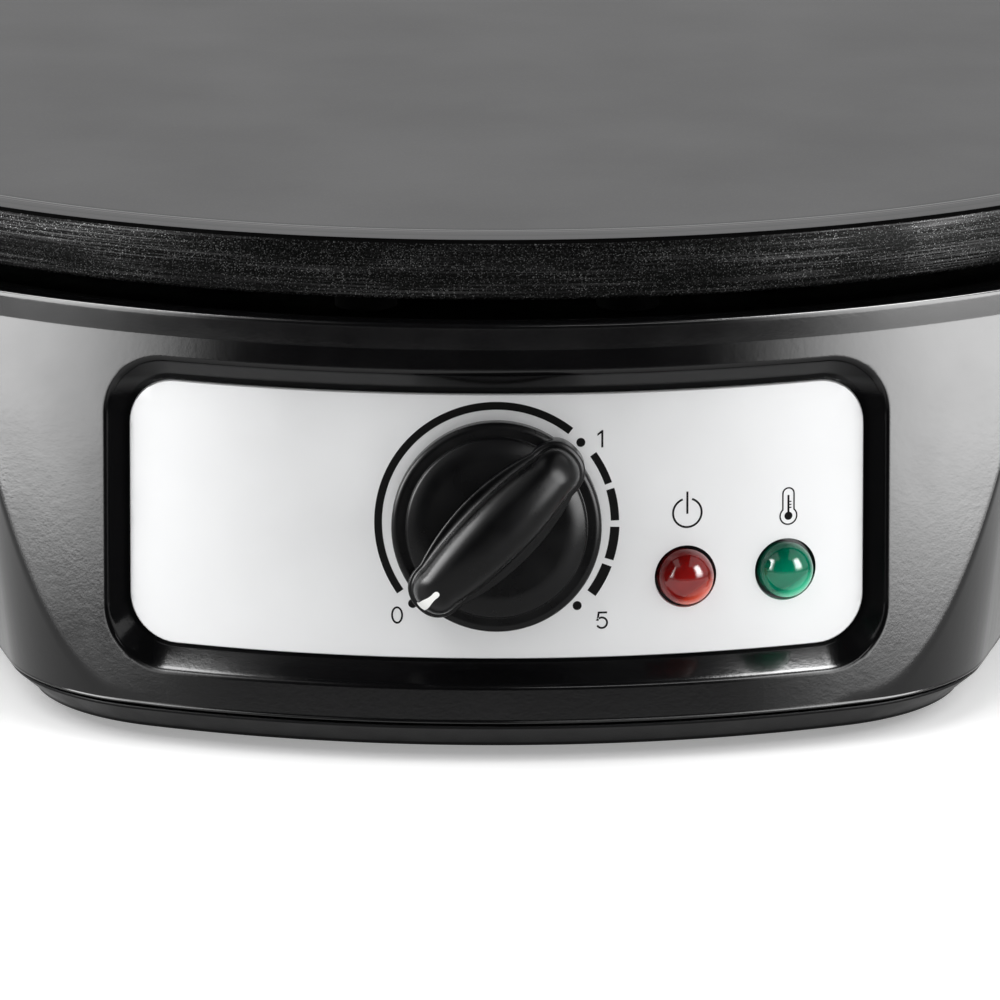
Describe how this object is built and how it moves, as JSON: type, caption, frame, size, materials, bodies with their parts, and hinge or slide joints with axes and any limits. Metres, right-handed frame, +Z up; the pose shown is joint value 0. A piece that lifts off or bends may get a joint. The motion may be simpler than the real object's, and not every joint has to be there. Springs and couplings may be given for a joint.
{
  "type": "electric crepe maker",
  "caption": "Tabletop electric crepe maker: round cast hot plate on a black plastic housing with a sunken silver control panel, a turning heat knob, indicator lamps and rubber feet.",
  "frame": {"origin": "on the table, under the middle of the object and the hot plate's axis", "axes": "+Z up, -Y towards the control panel and its user, +X to the right seen from the front, +Y towards the cord inlet at the rear"},
  "size_m": [0.3159, 0.352, 0.0871],
  "materials": {
    "plate_coating": "matte dark non-stick coating on cast aluminium",
    "housing_plastic": "glossy black moulded plastic",
    "cover_plastic": "satin black moulded plastic",
    "fascia_metal": "satin silver sheet with black print",
    "knob_plastic": "glossy black moulded plastic",
    "pointer_white": "white inlay",
    "red_lens": "clear red moulded lens",
    "green_lens": "clear green moulded lens",
    "neon_glass": "clear glass",
    "foot_rubber": "matte black rubber",
    "zinc_steel": "zinc-plated steel",
    "sheath_steel": "heat-tinted steel sheath",
    "pan_steel": "bright aluminised steel sheet",
    "ceramic": "white ceramic",
    "dark_ceramic": "dark glazed ceramic",
    "bakelite": "brown moulded insulator",
    "holder_plastic": "black heat-resistant plastic",
    "brass": "bare brass",
    "copper": "bare copper",
    "white_plastic": "white nylon",
    "brown_insulation": "brown insulation",
    "blue_insulation": "blue insulation",
    "green_insulation": "green and yellow insulation",
    "glass_sleeving": "braided glass-fibre sleeving",
    "red_insulation": "red insulation"
  },
  "bodies": {
    "base": {"hot_plate": "plate_coating", "upper_housing": "housing_plastic", "bottom_cover": "cover_plastic", "control_fascia": "fascia_metal", "spindle_nut": "zinc_steel", "power_lamp_lens": "red_lens", "ready_lamp_lens": "green_lens", "power_lamp_holder": "holder_plastic", "ready_lamp_holder": "holder_plastic", "power_neon": "neon_glass", "ready_neon": "neon_glass", "foot_front_left": "foot_rubber", "foot_front_right": "foot_rubber", "foot_rear_left": "foot_rubber", "foot_rear_right": "foot_rubber", "cover_screws": "zinc_steel", "cord_inlet_gland": "holder_plastic", "gland_nut": "holder_plastic", "heating_element": "sheath_steel", "terminal_insulators": "dark_ceramic", "reflector_pan": "pan_steel", "plate_spacers": "ceramic", "plate_screws": "zinc_steel", "thermostat_body": "ceramic", "thermostat_cover": "bakelite", "pressure_capsule": "zinc_steel", "capillary_tube": "copper", "sensing_bulb": "copper", "bulb_clip": "zinc_steel", "thermal_fuse": "ceramic", "fuse_clip": "zinc_steel", "clip_screws": "zinc_steel", "terminal_block": "white_plastic", "block_screws": "zinc_steel", "earth_screw": "brass", "live_wire": "brown_insulation", "neutral_wire": "blue_insulation", "fuse_leads": "glass_sleeving", "earth_wire": "green_insulation", "lamp_wires": "red_insulation"},
    "knob": {"control_knob": "knob_plastic", "knob_pointer": "pointer_white", "thermostat_spindle": "zinc_steel"},
    "plunger": {"thermostat_plunger": "brass"},
    "arm": {"contact_arm": "copper"}
  },
  "joints": [
    {"name": "knob_turn", "type": "hinge", "parent": "base", "child": "knob", "pos_m": [0, -0.15585, 0.0396], "axis": [0, 0.9863, -0.165], "range_deg": [0, 270]},
    {"name": "plunger_slide", "type": "slide", "parent": "base", "child": "plunger", "axis": [0, 0.9863, -0.165], "range_m": [0, 0.0008]},
    {"name": "arm_swing", "type": "hinge", "parent": "base", "child": "arm", "pos_m": [0, -0.13957, 0.04722], "axis": [1, 0, 0], "range_deg": [0, 4.6]}
  ],
  "couplings": [
    {"joint": "plunger_slide", "follows": "knob_turn", "m_per_rad": 0.00016976},
    {"joint": "arm_swing", "follows": "knob_turn", "ratio": 0.0166}
  ]
}
